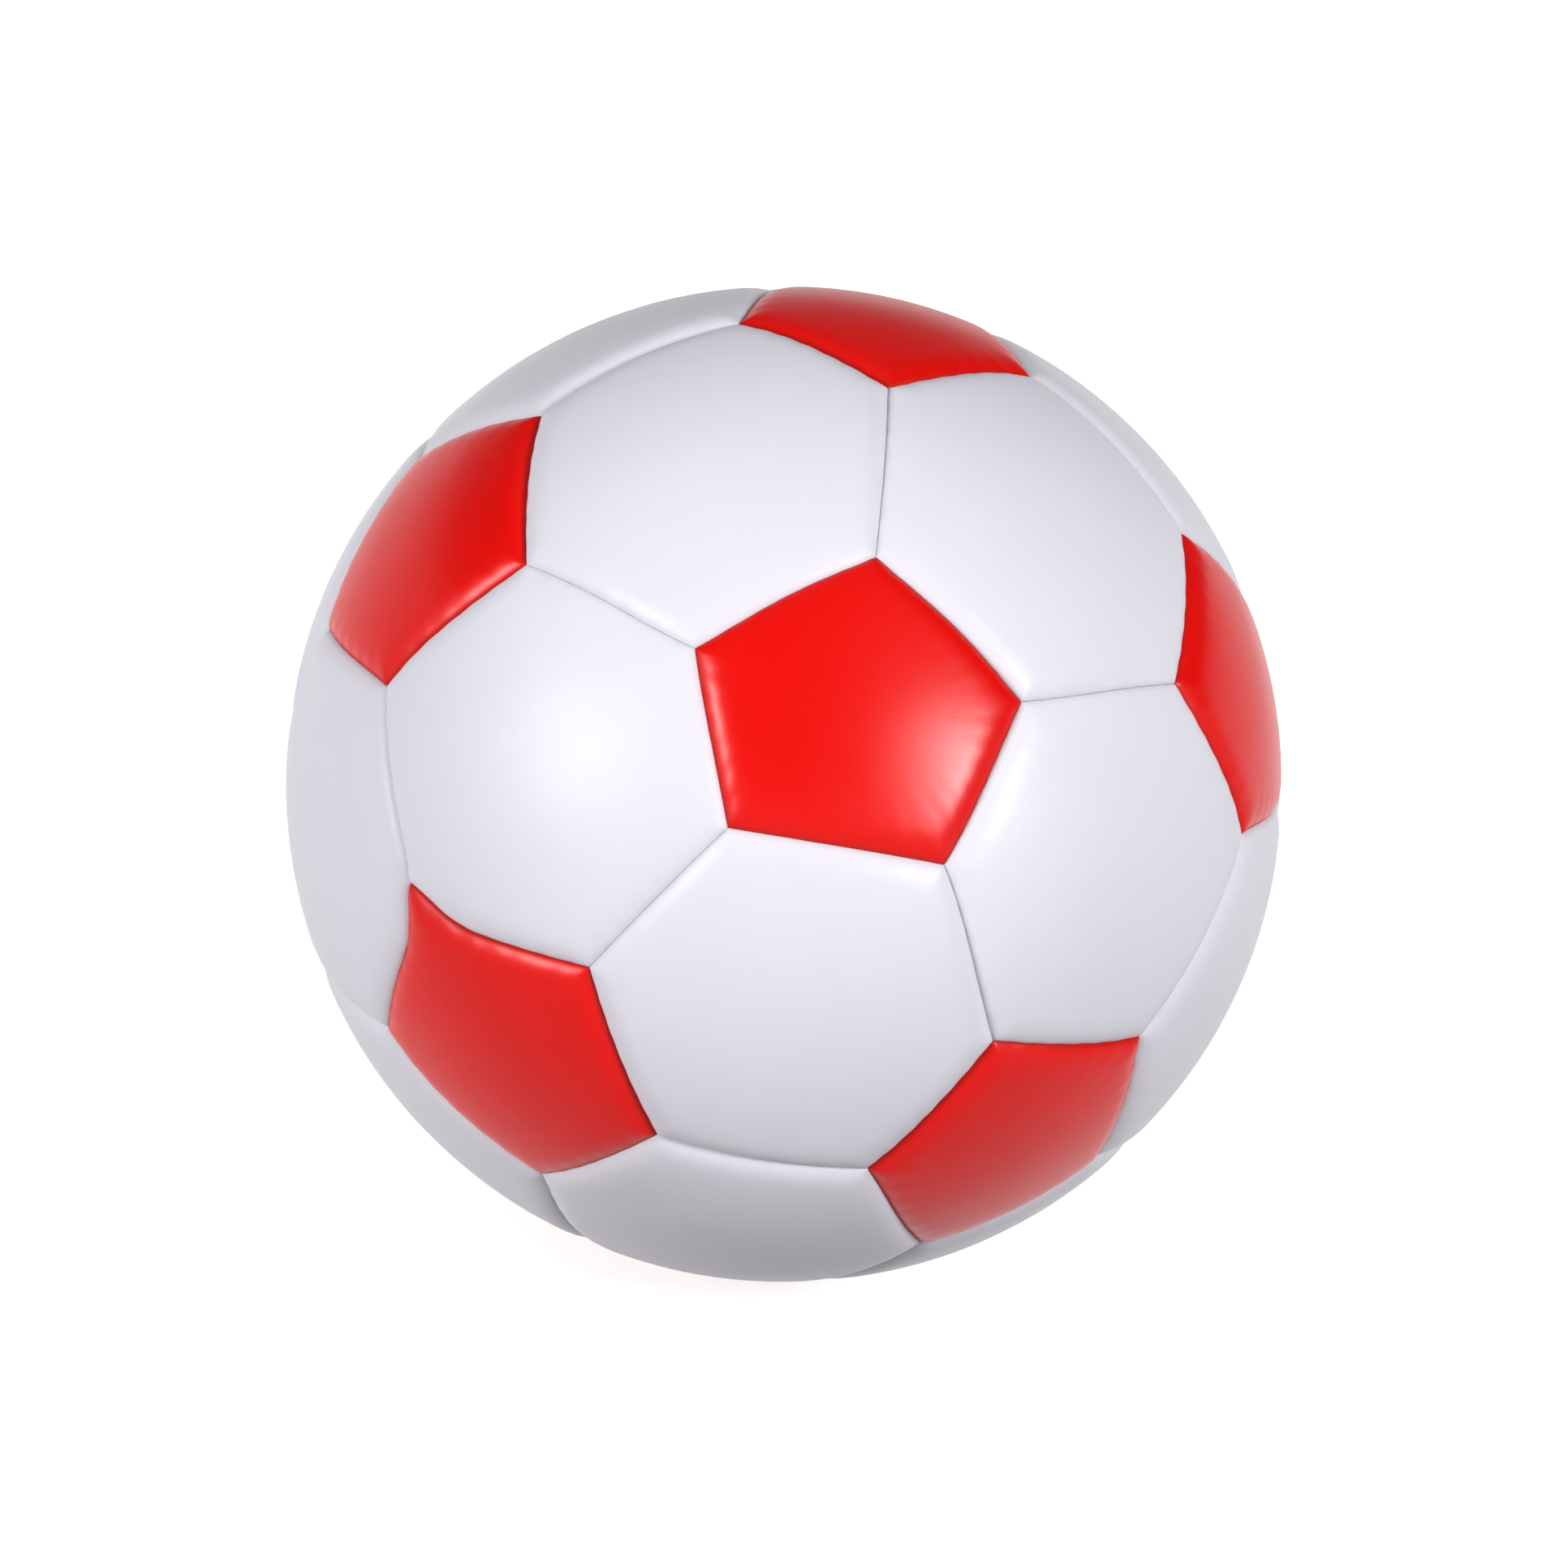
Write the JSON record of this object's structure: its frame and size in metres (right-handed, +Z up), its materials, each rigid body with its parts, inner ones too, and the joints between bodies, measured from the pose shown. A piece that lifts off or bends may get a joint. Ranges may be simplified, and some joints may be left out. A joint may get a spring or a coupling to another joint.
{
  "type": "mini soccer ball",
  "caption": "Small sewn soccer ball: puffed red pentagon and white hexagon panels over foam, cloth and an air bladder, with a needle valve whose core pulls out.",
  "frame": {"origin": "centre of the ball", "axes": "+Z up through the middle of the top pentagon; the pentagon at the front looks towards -Y and up; the valve looks towards +Y and up, in the plane x = 0"},
  "size_m": [0.1486, 0.1496, 0.15],
  "materials": {
    "red_panel": "glossy PVC synthetic leather, faint grain",
    "white_panel": "glossy PVC synthetic leather, faint grain",
    "foam": "closed-cell foam",
    "lining_cloth": "woven cotton",
    "sewing_thread": "waxed polyester thread",
    "bladder_rubber": "moulded butyl rubber",
    "valve_rubber": "moulded rubber",
    "core_rubber": "moulded rubber"
  },
  "bodies": {
    "ball": {"top_pentagon": "red_panel", "upper_pentagon_1": "red_panel", "upper_pentagon_2": "red_panel", "upper_pentagon_3": "red_panel", "upper_pentagon_4": "red_panel", "upper_pentagon_5": "red_panel", "lower_pentagon_1": "red_panel", "lower_pentagon_2": "red_panel", "lower_pentagon_3": "red_panel", "lower_pentagon_4": "red_panel", "lower_pentagon_5": "red_panel", "bottom_pentagon": "red_panel", "crown_hexagon_1": "white_panel", "crown_hexagon_2": "white_panel", "valve_hexagon": "white_panel", "crown_hexagon_4": "white_panel", "crown_hexagon_5": "white_panel", "upper_hexagon_1": "white_panel", "upper_hexagon_2": "white_panel", "upper_hexagon_3": "white_panel", "upper_hexagon_4": "white_panel", "upper_hexagon_5": "white_panel", "lower_hexagon_1": "white_panel", "lower_hexagon_2": "white_panel", "lower_hexagon_3": "white_panel", "lower_hexagon_4": "white_panel", "lower_hexagon_5": "white_panel", "base_hexagon_1": "white_panel", "base_hexagon_2": "white_panel", "base_hexagon_3": "white_panel", "base_hexagon_4": "white_panel", "base_hexagon_5": "white_panel", "pentagon_foam_pads": "foam", "hexagon_foam_pads": "foam", "pentagon_cloth_linings": "lining_cloth", "hexagon_cloth_linings": "lining_cloth", "pentagon_seam_stitching": "sewing_thread", "hexagon_seam_stitching": "sewing_thread", "bladder": "bladder_rubber", "valve_patch": "lining_cloth", "valve_housing": "valve_rubber"},
    "valve_core": {"valve_core": "core_rubber"}
  },
  "joints": [
    {"name": "valve_core_pull", "type": "slide", "parent": "ball", "child": "valve_core", "axis": [0, 0.6071, 0.7947], "range_m": [0, 0.016]}
  ]
}
